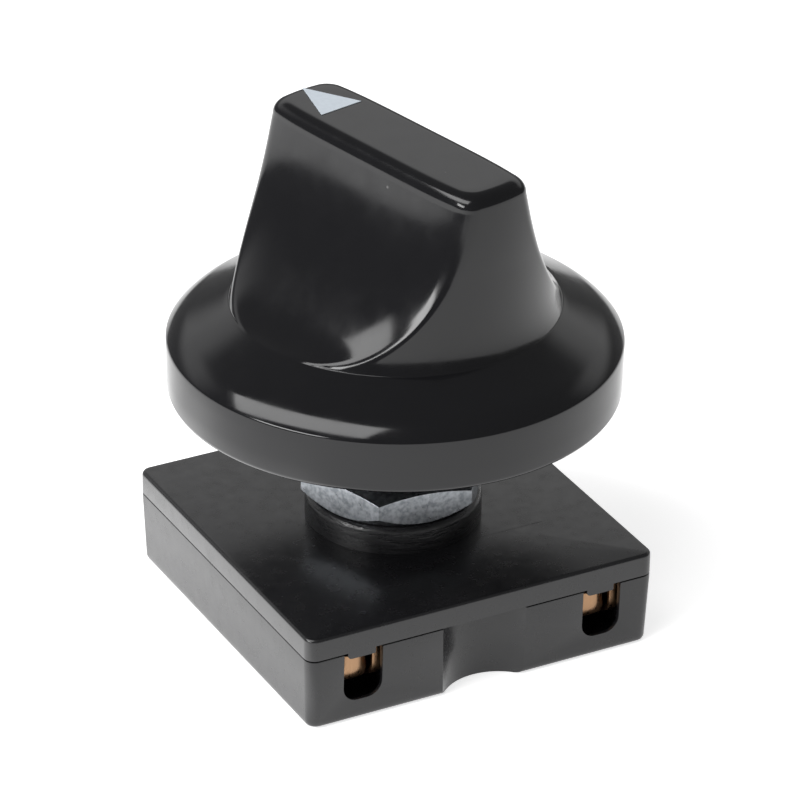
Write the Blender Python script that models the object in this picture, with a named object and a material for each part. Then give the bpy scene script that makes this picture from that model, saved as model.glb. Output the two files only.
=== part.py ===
"""Panel-mount rotary switch with a round skirted pointer knob.

Frame: +Z up along the shaft, origin on the underside of the body at its centre.
The face with the two wire entries and the finger scallop looks along -Y, and an
equal face looks along +Y. Lengths below are millimetres.
"""
import math

import bmesh
import bpy
from mathutils import Matrix, Vector

MM = 0.001

# body
BODY_W = 32.0
CORNER_R = 1.0
BASE_TOP = 6.45
COVER_BOTTOM = 6.55
COVER_TOP = 8.5
DRAFT = 0.2
FLOOR_Z = 1.2
POCKET_R = 9.35
NOTCH_DEPTH = 0.35
NOTCHES = 8
SCALLOP_R = 4.8
SCALLOP_Y = 18.8
SLOT_X = 11.05
SLOT_W = 3.5
SLOT_FLOOR = 1.9
SLOT_R = 1.3
TAB_DROP = 0.6
PEG_X = 14.0
PEG_Y = 3.0
PEG_R = 0.7
STOP_R = 6.0
STOP_PEG_R = 0.6

# collar, threaded neck and nut
COLLAR_R = 7.4
COLLAR_TOP = 10.9
NECK_R = 4.85
NECK_TOP = 19.5
NECK_BORE_R = 3.3
NUT_FLATS = 14.3
NUT_Z = (11.05, 13.8)
NUT_CHAMFER_R = 7.1
NUT_CHAMFER_LOW = 1.15
NUT_CHAMFER_HIGH = 0.5
NUT_CORNER_DEG = -126.3

# turning parts
POINTER_DEG = 102.5
TRAVEL_DEG = 135.0
SHAFT_R = 3.0
SHAFT_TOP = 29.4
SHAFT_FLAT = 2.4
DRIVE_SQUARE = 4.2
ROTOR_R = 8.5
ROTOR_Z = (2.95, 6.0)
DETENT_Z = 4.4
BALL_R = 1.2
BALL_AT = 8.0
BORE_R = 1.4

# knob
SKIRT_R = 18.8
SKIRT_Z = 20.6
HUB_R = 13.05
HUB_BASE_Z = 28.4
KNOB_TOP = 42.95
GRIP_HALF = 3.3
GRIP_EDGE = 1.2
GRIP_DRAFT = 0.22
SCOOP_DEPTH = 8.0
SCOOP_POWER = 2.6
SHOULDER_R = 5.0
SHOULDER_AT = (14.814, 22.256)

# terminals
STRIP = 0.35
SLOT_WALL = 0.5
LEAF_Y = -15.02
LEAF_CURL = 1.9
LEAF_TOP = 5.65
CONTACT_XY = (5.2, 5.95)


def clear_scene():
    for item in list(bpy.data.objects):
        bpy.data.objects.remove(item, do_unlink=True)


def material(name, colour, roughness, metallic=0.0):
    mat = bpy.data.materials.new(name)
    mat.use_nodes = True
    shader = mat.node_tree.nodes["Principled BSDF"]
    shader.inputs["Base Color"].default_value = (*colour, 1.0)
    shader.inputs["Roughness"].default_value = roughness
    shader.inputs["Metallic"].default_value = metallic
    return mat


def finish(bm, name, mat, turn=0.0, smooth=True):
    """Close the mesh, turn it about Z, scale it to metres and link it."""
    bmesh.ops.remove_doubles(bm, verts=bm.verts, dist=0.0005)
    bmesh.ops.recalc_face_normals(bm, faces=bm.faces)
    place = Matrix.Rotation(math.radians(turn), 4, "Z") @ Matrix.Scale(MM, 4)
    bmesh.ops.transform(bm, matrix=place, verts=bm.verts)
    mesh = bpy.data.meshes.new(name)
    bm.to_mesh(mesh)
    bm.free()
    if smooth:
        mesh.shade_smooth()
        mesh.set_sharp_from_angle(angle=math.radians(32))
    obj = bpy.data.objects.new(name, mesh)
    bpy.context.scene.collection.objects.link(obj)
    obj.data.materials.append(mat)
    return obj


def circle(radius, steps, cx=0.0, cy=0.0, start=0.0):
    points = []
    for i in range(steps):
        a = start + 2 * math.pi * i / steps
        points.append((cx + radius * math.cos(a), cy + radius * math.sin(a)))
    return points


def rounded_rect(width, depth, radius, steps=4):
    """Outline of a rectangle with round corners, anticlockwise."""
    points = []
    for k, (sx, sy) in enumerate([(1, 1), (-1, 1), (-1, -1), (1, -1)]):
        cx = sx * (width / 2 - radius)
        cy = sy * (depth / 2 - radius)
        for i in range(steps + 1):
            a = math.pi / 2 * (k + i / steps)
            points.append((cx + radius * math.cos(a), cy + radius * math.sin(a)))
    return points


def stack(rings):
    """Loft through (z, outline) rings that all have the same number of points."""
    bm = bmesh.new()
    z0, outline = rings[0]
    verts = [bm.verts.new((x, y, z0)) for x, y in outline]
    face = bm.faces.new(verts)
    for level, (z, outline) in enumerate(rings[1:]):
        grown = bmesh.ops.extrude_face_region(bm, geom=[face])["geom"]
        if level:
            bmesh.ops.delete(bm, geom=[face], context="FACES_ONLY")
        face = [g for g in grown if isinstance(g, bmesh.types.BMFace)][0]
        fresh = [g for g in grown if isinstance(g, bmesh.types.BMVert)]
        ordered = []
        for old in verts:
            new = min(fresh, key=lambda v: (v.co - old.co).length)
            fresh.remove(new)
            ordered.append(new)
        for vert, (x, y) in zip(ordered, outline):
            vert.co = (x, y, z)
        verts = ordered
    return bm


def prism(outline, z0, z1):
    return stack([(z0, outline), (z1, outline)])


def revolve(profile, steps):
    """Turn an open (r, z) profile that starts and ends on the axis."""
    bm = bmesh.new()
    verts = [bm.verts.new((r, 0.0, z)) for r, z in profile]
    edges = [bm.edges.new(pair) for pair in zip(verts, verts[1:])]
    bmesh.ops.spin(bm, geom=verts + edges, cent=(0, 0, 0), axis=(0, 0, 1),
                   angle=2 * math.pi, steps=steps, use_merge=True, use_duplicate=False)
    return bm


def ring_solid(profile, steps):
    """Turn a closed (r, z) profile that stays clear of the axis."""
    bm = bmesh.new()
    verts = [bm.verts.new((r, 0.0, z)) for r, z in profile]
    edges = [bm.edges.new(pair) for pair in zip(verts, verts[1:] + verts[:1])]
    bmesh.ops.spin(bm, geom=verts + edges, cent=(0, 0, 0), axis=(0, 0, 1),
                   angle=2 * math.pi, steps=steps, use_merge=True, use_duplicate=False)
    return bm


def box(x0, x1, y0, y1, z0, z1):
    return prism([(x0, y0), (x1, y0), (x1, y1), (x0, y1)], z0, z1)


def combine(target, tool, operation):
    """Apply an exact Boolean and drop the tool object."""
    mod = target.modifiers.new("combine", "BOOLEAN")
    mod.operation = operation
    mod.solver = "EXACT"
    mod.object = tool
    bpy.context.view_layer.objects.active = target
    bpy.ops.object.modifier_apply(modifier=mod.name)
    bpy.data.objects.remove(tool, do_unlink=True)


def cut(target, bm, turn=0.0):
    tool = finish(bm, "tool", target.data.materials[0], turn, smooth=False)
    combine(target, tool, "DIFFERENCE")


def join(target, bm, turn=0.0):
    tool = finish(bm, "tool", target.data.materials[0], turn, smooth=False)
    combine(target, tool, "UNION")


def sharpen(obj, degrees=32):
    obj.data.shade_smooth()
    obj.data.set_sharp_from_angle(angle=math.radians(degrees))


def body_ring(z, inset, radius):
    return (z, rounded_rect(BODY_W - 2 * inset, BODY_W - 2 * inset, radius))


def pocket_outline():
    """Round pocket whose wall is waved into detent notches."""
    points = []
    steps = 64
    for i in range(steps):
        a = 2 * math.pi * i / steps
        phase = NOTCHES * (a - math.radians(POINTER_DEG - 90)) / 2
        r = POCKET_R + NOTCH_DEPTH * math.cos(phase) ** 2
        points.append((r * math.cos(a), r * math.sin(a)))
    return points


def slot_tool(cx):
    """U-shaped wire entry through the -Y wall, open at the parting line."""
    half = SLOT_W / 2
    outline = [(-half, 7.5), (-half, SLOT_FLOOR + SLOT_R)]
    for i in range(1, 6):
        a = math.pi + math.pi / 2 * i / 5
        outline.append((-half + SLOT_R + SLOT_R * math.cos(a),
                        SLOT_FLOOR + SLOT_R + SLOT_R * math.sin(a)))
    for i in range(0, 6):
        a = 1.5 * math.pi + math.pi / 2 * i / 5
        outline.append((half - SLOT_R + SLOT_R * math.cos(a),
                        SLOT_FLOOR + SLOT_R + SLOT_R * math.sin(a)))
    outline.append((half, 7.5))
    bm = prism(outline, 0.0, 3.0)
    # stand the outline up: its y becomes z, and its depth runs inward from y = -17
    turn = Matrix(((1, 0, 0, cx), (0, 0, 1, -17.0), (0, 1, 0, 0), (0, 0, 0, 1)))
    bmesh.ops.transform(bm, matrix=turn, verts=bm.verts)
    return bm


def build_base(mat):
    bm = stack([body_ring(0.0, 0.8 + DRAFT, 0.6), body_ring(0.11, 0.4 + DRAFT, 0.8),
                body_ring(0.36, 0.12 + DRAFT, 0.95), body_ring(0.8, DRAFT, CORNER_R),
                body_ring(BASE_TOP, 0.0, CORNER_R)])
    base = finish(bm, "base_housing", mat)
    cut(base, prism(pocket_outline(), 3.0, 9.0))
    cut(base, prism(circle(POCKET_R - 0.2, 48), FLOOR_Z, 3.4))
    for turn in (0, 180):
        cut(base, prism(circle(SCALLOP_R, 36, 0.1, -SCALLOP_Y), -1.0, 9.0), turn)
        for cx in (-SLOT_X, SLOT_X):
            cut(base, box(cx - 2.0, cx + 2.35, SLOT_WALL - BODY_W / 2, -4.7,
                          FLOOR_Z + 0.05, 9.0), turn)
            cut(base, slot_tool(cx), turn)
            inner = math.copysign(5.5, cx)
            x0, x1 = sorted((inner, cx))
            cut(base, box(x0, x1, -7.3, -4.9, FLOOR_Z + 0.1, 2.4), turn)
    for sx in (-1, 1):
        for sy in (-1, 1):
            cut(base, prism(circle(PEG_R + 0.3, 14, sx * PEG_X, sy * PEG_Y), 4.0, 9.0))
    cut(base, prism(circle(2.0, 24), 0.7, 1.6))
    sharpen(base)
    return base


def build_cover(mat):
    bm = stack([body_ring(COVER_BOTTOM, 0.0, CORNER_R), body_ring(8.2, 0.0, CORNER_R),
                body_ring(8.41, 0.09, 0.95), body_ring(COVER_TOP, 0.3, 0.85)])
    cover = finish(bm, "top_cover", mat)
    join(cover, revolve([(0, 7.5), (COLLAR_R, 7.5), (COLLAR_R, 10.3), (7.28, 10.6),
                         (7.05, 10.82), (6.75, COLLAR_TOP), (NECK_R, COLLAR_TOP),
                         (NECK_R, 19.1), (4.5, NECK_TOP), (0, NECK_TOP)], 48))
    for turn in (0, 180):
        for cx in (-SLOT_X, SLOT_X):
            x0 = cx - SLOT_W / 2 + 0.35
            tab = [(x0, COVER_BOTTOM - TAB_DROP + 0.15), (x0 + 0.18, COVER_BOTTOM - TAB_DROP),
                   (x0 + 2.5, COVER_BOTTOM - TAB_DROP), (x0 + 2.5, 7.0), (x0, 7.0)]
            bm = prism(tab, 0.0, 1.3)
            stand = Matrix(((1, 0, 0, 0), (0, 0, 1, -15.97), (0, 1, 0, 0), (0, 0, 0, 1)))
            bmesh.ops.transform(bm, matrix=stand, verts=bm.verts)
            join(cover, bm, turn)
    for sx in (-1, 1):
        for sy in (-1, 1):
            join(cover, prism(circle(PEG_R, 14, sx * PEG_X, sy * PEG_Y), 4.4, 7.0))
    stop = math.radians(POINTER_DEG + 180)
    join(cover, prism(circle(STOP_PEG_R, 20, STOP_R * math.cos(stop),
                             STOP_R * math.sin(stop)), 5.3, 7.0))
    cut(cover, prism(circle(NECK_BORE_R, 32), 0.0, 25.0))
    sharpen(cover)
    return cover


def build_nut(mat):
    corner = NUT_FLATS / math.sqrt(3)
    z0, z1 = NUT_Z
    outline = circle(corner, 6, start=math.radians(NUT_CORNER_DEG))
    nut = finish(prism(outline, z0, z1), "hex_nut", mat)
    lens = revolve([(0, z0), (NUT_CHAMFER_R, z0), (corner + 0.1, z0 + NUT_CHAMFER_LOW),
                    (corner + 0.1, z1 - NUT_CHAMFER_HIGH), (NUT_CHAMFER_R, z1), (0, z1)], 48)
    combine(nut, finish(lens, "tool", mat, smooth=False), "INTERSECT")
    cut(nut, revolve([(0, z0 - 0.5), (5.9, z0 - 0.5), (5.1, z0 + 0.3), (5.1, z1 - 0.3),
                      (5.9, z1 + 0.5), (0, z1 + 0.5)], 32))
    sharpen(nut)
    return nut


def square_ring(side, steps):
    """A square outline with as many points as a circle of the same steps."""
    points = []
    for x, y in circle(1.0, steps):
        reach = side / 2 / max(abs(x), abs(y))
        points.append((x * reach, y * reach))
    return points


def build_shaft(mat):
    n = 32
    full = circle(SHAFT_R, n)
    flat = [(min(x, SHAFT_FLAT), y) for x, y in full]
    rings = [(0.95, circle(1.4, n)), (1.2, circle(1.7, n)), (2.9, circle(1.7, n)),
             (2.9, square_ring(DRIVE_SQUARE, n)), (6.2, square_ring(DRIVE_SQUARE, n)),
             (6.2, full), (19.95, full), (19.95, circle(2.5, n)),
             (20.4, circle(2.5, n)), (20.4, full), (20.7, full), (20.7, flat),
             (SHAFT_TOP - 0.5, flat),
             (SHAFT_TOP, [(x * 0.84, y * 0.84) for x, y in flat])]
    return finish(stack(rings), "switch_shaft", mat, POINTER_DEG)


def build_washer(mat):
    return finish(ring_solid([(3.2, 19.6), (4.7, 19.6), (4.7, 19.85), (3.2, 19.85)], 32),
                  "thrust_washer", mat)


def build_retaining_ring(mat):
    """Open ring that snaps into the shaft's groove."""
    gap = math.radians(50)
    outline = []
    for i in range(33):
        a = gap + (2 * math.pi - 2 * gap) * i / 32
        outline.append((4.3 * math.cos(a), 4.3 * math.sin(a)))
    for i in range(33):
        a = 2 * math.pi - gap - (2 * math.pi - 2 * gap) * i / 32
        outline.append((2.65 * math.cos(a), 2.65 * math.sin(a)))
    return finish(prism(outline, 20.02, 20.33), "shaft_retaining_ring", mat, POINTER_DEG)


def build_rotor(mat):
    z0, z1 = ROTOR_Z
    rotor = finish(revolve([(0, z0), (ROTOR_R - 0.3, z0), (ROTOR_R, z0 + 0.3),
                            (ROTOR_R, z1 - 0.3), (ROTOR_R - 0.3, z1), (0, z1)], 48),
                   "rotor", mat)
    cut(rotor, prism(square_ring(DRIVE_SQUARE + 0.3, 8), 0.0, 9.0), POINTER_DEG)
    for side in (-90, 90):
        bm = prism(circle(BORE_R, 24), 4.0, 12.0)
        tip = Matrix.Translation((0, 0, DETENT_Z)) @ Matrix.Rotation(math.pi / 2, 4, "Y")
        bmesh.ops.transform(bm, matrix=tip, verts=bm.verts)
        cut(rotor, bm, POINTER_DEG + side)
    lead = math.degrees((STOP_PEG_R + 0.25) / STOP_R)
    first = math.radians(POINTER_DEG + 180 - lead)
    last = math.radians(POINTER_DEG + 180 + TRAVEL_DEG + lead)
    outline = []
    for i in range(25):
        a = first + (last - first) * i / 24
        outline.append(((STOP_R + 0.95) * math.cos(a), (STOP_R + 0.95) * math.sin(a)))
    for i in range(25):
        a = last + (first - last) * i / 24
        outline.append(((STOP_R - 0.95) * math.cos(a), (STOP_R - 0.95) * math.sin(a)))
    cut(rotor, prism(outline, 5.05, 9.0))
    sharpen(rotor)
    return rotor


def build_bridge(mat):
    """Two-armed wiper plate under the rotor."""
    outline = []
    steps = 48
    for i in range(steps):
        a = 2 * math.pi * i / steps
        lobe = max(0.0, math.cos(2 * a)) ** 3
        r = 4.6 + 4.0 * lobe
        outline.append((r * math.cos(a), r * math.sin(a)))
    bridge = finish(prism(outline, 2.5, 2.8), "contact_bridge", mat, 40)
    cut(bridge, prism(circle(2.0, 32), 0.0, 5.0))
    return bridge


def build_common_ring(mat):
    return finish(ring_solid([(3.3, 2.0), (4.4, 2.0), (4.4, 2.3), (3.3, 2.3)], 32),
                  "common_ring", mat)


def strip_outline(path, thickness):
    """Outline of a bent strip that follows a (y, z) path."""
    left = []
    right = []
    for i, (y, z) in enumerate(path):
        ay, az = path[max(i - 1, 0)]
        by, bz = path[min(i + 1, len(path) - 1)]
        run = math.hypot(by - ay, bz - az)
        ny, nz = -(bz - az) / run, (by - ay) / run
        left.append((y + ny * thickness / 2, z + nz * thickness / 2))
        right.append((y - ny * thickness / 2, z - nz * thickness / 2))
    return left + right[::-1]


def strip(path, thickness, x0, x1):
    """Bent strip, its path in the YZ plane, from x0 to x1."""
    bm = prism(strip_outline(path, thickness), x0, x1)
    turn = Matrix(((0, 0, 1, 0), (1, 0, 0, 0), (0, 1, 0, 0), (0, 0, 0, 1)))
    bmesh.ops.transform(bm, matrix=turn, verts=bm.verts)
    return bm


def tongue_path(top):
    """Leaf that hangs behind the wire entry and curls inward at its foot."""
    path = [(LEAF_Y, top), (LEAF_Y, 5.2)]
    for i in range(7):
        a = math.radians(90) * i / 6
        path.append((LEAF_Y + LEAF_CURL * (1 - math.cos(a)), 4.7 - LEAF_CURL * math.sin(a)))
    return path


def build_terminal(number, cx, turn, mat):
    path = tongue_path(LEAF_TOP) + [(-11.0, 2.62), (-9.6, 1.95), (-8.8, 1.7),
                                    (-8.0, 1.68), (-5.2, 1.68)]
    clip = finish(strip(path, STRIP, cx - 1.7, cx + 0.85), "terminal_clip_%d" % number,
                  mat, turn)
    x0, x1 = sorted((math.copysign(4.3, cx), cx))
    join(clip, box(x0, x1, -6.95, -5.15, 1.505, 1.855), turn)
    sharpen(clip)
    return clip


def build_wire_spring(number, cx, turn, mat):
    rest = [(-12.2, 3.0), (-11.2, 3.5), (-10.4, 4.2)]
    spring = finish(strip(tongue_path(6.35) + rest, 0.3, cx + 1.4, cx + 2.05),
                    "wire_spring_%d" % number, mat, turn)
    join(spring, strip(tongue_path(LEAF_TOP) + rest, 0.3, cx + 1.2, cx + 1.6), turn)
    sharpen(spring)
    return spring


def build_fixed_contact(number, cx, turn, mat):
    x = math.copysign(CONTACT_XY[0], cx)
    bm = revolve([(0, 1.96), (0.8, 1.96), (0.8, 2.2), (0.55, 2.3), (0, 2.3)], 24)
    bmesh.ops.translate(bm, verts=bm.verts, vec=(x, -CONTACT_XY[1], 0))
    return finish(bm, "fixed_contact_%d" % number, mat, turn)


def build_ball(number, side, mat):
    bm = bmesh.new()
    bmesh.ops.create_uvsphere(bm, u_segments=16, v_segments=10, radius=BALL_R)
    bmesh.ops.translate(bm, verts=bm.verts, vec=(BALL_AT, 0, DETENT_Z))
    return finish(bm, "detent_ball_%d" % number, mat, POINTER_DEG + side)


def build_spring(number, side, mat):
    """Coil between the bore's end and its ball."""
    turns = 4
    steps = 10
    count = turns * steps + 1
    radius, wire = 0.95, 0.14
    x0, x1 = 4.25, BALL_AT - BALL_R - 0.3
    curve = bpy.data.curves.new("coil", "CURVE")
    curve.dimensions = "3D"
    curve.bevel_depth = wire * MM
    curve.bevel_resolution = 1
    curve.render_resolution_u = 0
    curve.use_fill_caps = True
    spline = curve.splines.new("POLY")
    spline.points.add(count - 1)
    turn = Matrix.Rotation(math.radians(POINTER_DEG + side), 3, "Z")
    for i in range(count):
        a = 2 * math.pi * i / steps
        at = turn @ Vector((x0 + (x1 - x0) * i / (count - 1), radius * math.cos(a),
                            DETENT_Z + radius * math.sin(a)))
        spline.points[i].co = (at.x * MM, at.y * MM, at.z * MM, 1.0)
    obj = bpy.data.objects.new("detent_spring_%d" % number, curve)
    bpy.context.scene.collection.objects.link(obj)
    curve.materials.append(mat)
    return obj


def grip_side():
    """(half width, height) down the grip's side at its ends: round edge, then hollow."""
    shoulder = KNOB_TOP - GRIP_EDGE
    side = [(GRIP_HALF - GRIP_EDGE, KNOB_TOP + 0.6)]
    for i in range(5):
        a = math.pi / 2 * (1 - i / 4)
        side.append((GRIP_HALF - GRIP_EDGE + GRIP_EDGE * math.cos(a),
                     shoulder + GRIP_EDGE * math.sin(a)))
    drop = shoulder - HUB_BASE_Z
    for i in range(1, 16):
        t = math.sin(math.pi / 2 * i / 15)
        hollow = SCOOP_DEPTH * (1 - math.sqrt(max(0.0, 1 - t ** SCOOP_POWER)))
        side.append((GRIP_HALF + GRIP_DRAFT * drop * t + hollow, shoulder - drop * t))
    side.append((20.0, HUB_BASE_Z))
    return side


def swell(w, z, along):
    """How far the hollow's wall stands out between the grip's two ends."""
    rise = max(0.0, min(1.0, (z - HUB_BASE_Z) / 8.0))
    height = 0.55 + 1.05 * (1 - rise)
    return height * (HUB_R ** 2 - w ** 2 - along ** 2) / HUB_R ** 2


def scoop_tool(side):
    """Everything beside the grip: a bent plate swept along it in short steps."""
    stations = 8
    reach = 16.0
    rings = []
    for i in range(stations + 1):
        along = -reach + 2 * reach * i / stations
        outline = grip_side()
        ring = [(w + swell(min(w, 14.5), z, along), z) for w, z in outline]
        ring += [(20.0, 46.0), (ring[0][0], 46.0)]
        rings.append((along, ring))
    bm = stack(rings)
    # outline x is across the grip, outline y is height, and the stack runs along it
    stand = Matrix(((0, 0, 1, 0), (side, 0, 0, 0), (0, 1, 0, 0), (0, 0, 0, 1)))
    bmesh.ops.transform(bm, matrix=stand, verts=bm.verts)
    return bm


def pointer_outline(grow):
    tip, foot, half = 12.05, 7.05, 2.1
    slant = math.hypot(tip - foot, half) / half
    return [(tip + grow * slant, 0.0), (foot - grow, half + grow * 1.45),
            (foot - grow, -half - grow * 1.45)]


def build_knob(mat):
    profile = [(0, 21.0), (5.1, 21.0), (5.4, 21.3), (5.5, 26.3), (11.6, 26.3),
               (16.0, 24.7), (16.7, 24.1), (16.9, 23.3), (17.0, SKIRT_Z + 0.15),
               (17.15, SKIRT_Z), (18.35, SKIRT_Z), (18.65, SKIRT_Z + 0.1),
               (SKIRT_R, SKIRT_Z + 0.4), (SKIRT_R + 0.05, 25.05)]
    for i in range(6):
        tilt = math.radians(52 - 25 * i / 5)
        profile.append((SHOULDER_AT[0] + SHOULDER_R * math.sin(tilt),
                        SHOULDER_AT[1] + SHOULDER_R * math.cos(tilt)))
    profile += [(14.2, 28.2), (13.75, HUB_BASE_Z), (13.5, 28.75), (13.35, 29.6),
                (13.22, 32.0), (HUB_R + 0.05, 36.0), (HUB_R, KNOB_TOP - GRIP_EDGE)]
    for i in range(1, 6):
        a = math.pi / 2 * i / 5
        profile.append((HUB_R - GRIP_EDGE * (1 - math.cos(a)),
                        KNOB_TOP - GRIP_EDGE * (1 - math.sin(a))))
    profile.append((0, KNOB_TOP))
    knob = finish(revolve(profile, 72), "knob", mat, POINTER_DEG)
    for side in (-1, 1):
        cut(knob, scoop_tool(side), POINTER_DEG)
    cut(knob, prism(pointer_outline(0.1), KNOB_TOP - 0.25, 45.0), POINTER_DEG)
    bore = [(min(x, 2.95), y) for x, y in circle(3.2, 32)]
    cut(knob, prism(bore, 20.0, 29.9), POINTER_DEG)
    for side in (0, 180):
        cut(knob, stack([(25.0, [(6.4, -2.5), (11.3, -2.5), (11.3, 2.5), (6.4, 2.5)]),
                         (38.0, [(6.8, -1.7), (10.9, -1.7), (10.9, 1.7), (6.8, 1.7)])]),
            POINTER_DEG + side)
    sharpen(knob, 28)
    return knob


def build_pointer(mat):
    return finish(prism(pointer_outline(0.0), KNOB_TOP - 0.15, KNOB_TOP + 0.05),
                  "pointer_mark", mat, POINTER_DEG, smooth=False)


def build_knob_clip(mat):
    """Leaf between the shaft's flat and the knob's bore."""
    return finish(box(2.54, 2.82, -1.2, 1.2, 22.0, 28.5), "knob_spring_clip", mat,
                  POINTER_DEG, smooth=False)


def build_all():
    clear_scene()
    black = material("black_body_plastic", (0.012, 0.012, 0.013), 0.42)
    gloss = material("black_knob_plastic", (0.008, 0.008, 0.009), 0.14)
    zinc = material("zinc_plated_steel", (0.62, 0.63, 0.65), 0.3, 1.0)
    steel = material("bright_steel", (0.55, 0.55, 0.56), 0.25, 1.0)
    brass = material("terminal_copper_alloy", (0.82, 0.5, 0.3), 0.3, 1.0)
    silver = material("silver_contact", (0.85, 0.84, 0.81), 0.3, 1.0)
    nylon = material("natural_nylon", (0.78, 0.75, 0.68), 0.5)
    paint = material("silver_white_print", (0.62, 0.67, 0.72), 0.45)
    build_base(black)
    build_cover(black)
    build_nut(zinc)
    build_shaft(steel)
    build_washer(steel)
    build_retaining_ring(steel)
    build_rotor(nylon)
    build_bridge(brass)
    build_common_ring(silver)
    for number, (cx, turn) in enumerate([(-SLOT_X, 0), (SLOT_X, 0), (-SLOT_X, 180),
                                         (SLOT_X, 180)], 1):
        build_terminal(number, cx, turn, brass)
        build_wire_spring(number, cx, turn, brass)
        build_fixed_contact(number, cx, turn, silver)
    for number, side in enumerate((-90, 90), 1):
        build_ball(number, side, steel)
        build_spring(number, side, steel)
    build_knob(gloss)
    build_pointer(paint)
    build_knob_clip(steel)


build_all()
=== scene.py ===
# %% [markdown]
# # A panel-mount rotary switch
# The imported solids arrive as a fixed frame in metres. The gloss knob, the cover,
# the nut, the housing and the sprung wire clips are then modelled again with
# finer edges, and every piece is given its own procedural finish.

# %% Load the frame
import math

import bmesh
import bpy
from mathutils import Matrix, Vector


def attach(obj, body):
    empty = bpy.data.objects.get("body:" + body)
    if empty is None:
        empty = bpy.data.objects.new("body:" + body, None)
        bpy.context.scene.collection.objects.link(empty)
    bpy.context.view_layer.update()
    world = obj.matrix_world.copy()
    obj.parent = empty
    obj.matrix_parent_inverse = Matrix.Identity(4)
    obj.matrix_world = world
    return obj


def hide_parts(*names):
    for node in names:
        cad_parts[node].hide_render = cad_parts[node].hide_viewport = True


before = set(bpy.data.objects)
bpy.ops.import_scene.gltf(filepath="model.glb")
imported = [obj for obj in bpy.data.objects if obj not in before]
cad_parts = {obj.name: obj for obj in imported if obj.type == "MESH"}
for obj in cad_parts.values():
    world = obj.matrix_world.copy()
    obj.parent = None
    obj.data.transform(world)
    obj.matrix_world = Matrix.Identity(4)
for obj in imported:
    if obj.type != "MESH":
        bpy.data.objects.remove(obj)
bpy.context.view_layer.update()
MM = 0.001

# %% [markdown]
# ## Small helpers
# Lengths are easier to read in millimetres, so each mesh is drawn in millimetres
# and scaled once when it is finished. fit_in also gives a piece its finish, sets it
# riding on its body, and hides the imported solids that it stands for.

# %% Finish a mesh and hang it on its body
def finish(bm, name, turn=0.0, merge=0.0004):
    bmesh.ops.remove_doubles(bm, verts=bm.verts, dist=merge)
    bmesh.ops.recalc_face_normals(bm, faces=bm.faces)
    place = Matrix.Rotation(math.radians(turn), 4, "Z") @ Matrix.Scale(MM, 4)
    bmesh.ops.transform(bm, matrix=place, verts=bm.verts)
    mesh = bpy.data.meshes.new(name)
    bm.to_mesh(mesh)
    bm.free()
    obj = bpy.data.objects.new(name, mesh)
    bpy.context.scene.collection.objects.link(obj)
    return obj


def smooth(obj, degrees=35):
    obj.data.shade_smooth()
    obj.data.set_sharp_from_angle(angle=math.radians(degrees))
    return obj


def fit_in(obj, body, slot, mat, *nodes):
    obj.data.materials.clear()
    obj.data.materials.append(mat)
    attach(obj, body)
    if nodes:
        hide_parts(*nodes)
    print(obj.name, len(obj.data.polygons), "faces")
    return obj


def boolean(target, bm, operation="DIFFERENCE", turn=0.0):
    tool = finish(bm, "tool", turn)
    mod = target.modifiers.new("boolean", "BOOLEAN")
    mod.operation = operation
    mod.solver = "EXACT"
    mod.object = tool
    bpy.context.view_layer.objects.active = target
    bpy.ops.object.modifier_apply(modifier=mod.name)
    bpy.data.objects.remove(tool, do_unlink=True)


def soften(target, width, degrees=40, segments=2):
    mod = target.modifiers.new("soft edges", "BEVEL")
    mod.width = width * MM
    mod.segments = segments
    mod.limit_method = "ANGLE"
    mod.angle_limit = math.radians(degrees)
    mod.harden_normals = False
    bpy.context.view_layer.objects.active = target
    bpy.ops.object.modifier_apply(modifier=mod.name)


# %% Outlines, prisms and turned shapes
def circle(radius, steps, cx=0.0, cy=0.0):
    return [(cx + radius * math.cos(2 * math.pi * i / steps),
             cy + radius * math.sin(2 * math.pi * i / steps)) for i in range(steps)]


def rounded_rect(width, depth, radius, steps=8):
    points = []
    for k, (sx, sy) in enumerate([(1, 1), (-1, 1), (-1, -1), (1, -1)]):
        for i in range(steps + 1):
            a = math.pi / 2 * (k + i / steps)
            points.append((sx * (width / 2 - radius) + radius * math.cos(a),
                           sy * (depth / 2 - radius) + radius * math.sin(a)))
    return points


def stack(rings):
    """Grow a solid by extruding its top face through a list of (z, outline)."""
    bm = bmesh.new()
    z0, outline = rings[0]
    verts = [bm.verts.new((x, y, z0)) for x, y in outline]
    face = bm.faces.new(verts)
    for level, (z, outline) in enumerate(rings[1:]):
        grown = bmesh.ops.extrude_face_region(bm, geom=[face])["geom"]
        if level:
            bmesh.ops.delete(bm, geom=[face], context="FACES_ONLY")
        face = [g for g in grown if isinstance(g, bmesh.types.BMFace)][0]
        fresh = [g for g in grown if isinstance(g, bmesh.types.BMVert)]
        ordered = []
        for old in verts:
            new = min(fresh, key=lambda v: (v.co - old.co).length_squared)
            fresh.remove(new)
            ordered.append(new)
        for vert, (x, y) in zip(ordered, outline):
            vert.co = (x, y, z)
        verts = ordered
    return bm


def prism(outline, z0, z1):
    return stack([(z0, outline), (z1, outline)])


def box(x0, x1, y0, y1, z0, z1):
    return prism([(x0, y0), (x1, y0), (x1, y1), (x0, y1)], z0, z1)


def turned(profile, steps, closed=False, dvec=(0, 0, 0)):
    """Spin an (r, z) profile once round Z."""
    bm = bmesh.new()
    verts = [bm.verts.new((r, 0.0, z)) for r, z in profile]
    pairs = list(zip(verts, verts[1:]))
    if closed:
        pairs.append((verts[-1], verts[0]))
    edges = [bm.edges.new(pair) for pair in pairs]
    merge = not any(dvec)
    bmesh.ops.spin(bm, geom=verts + edges, cent=(0, 0, 0), axis=(0, 0, 1), dvec=dvec,
                   angle=2 * math.pi, steps=steps, use_merge=merge, use_duplicate=False)
    return bm


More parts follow.
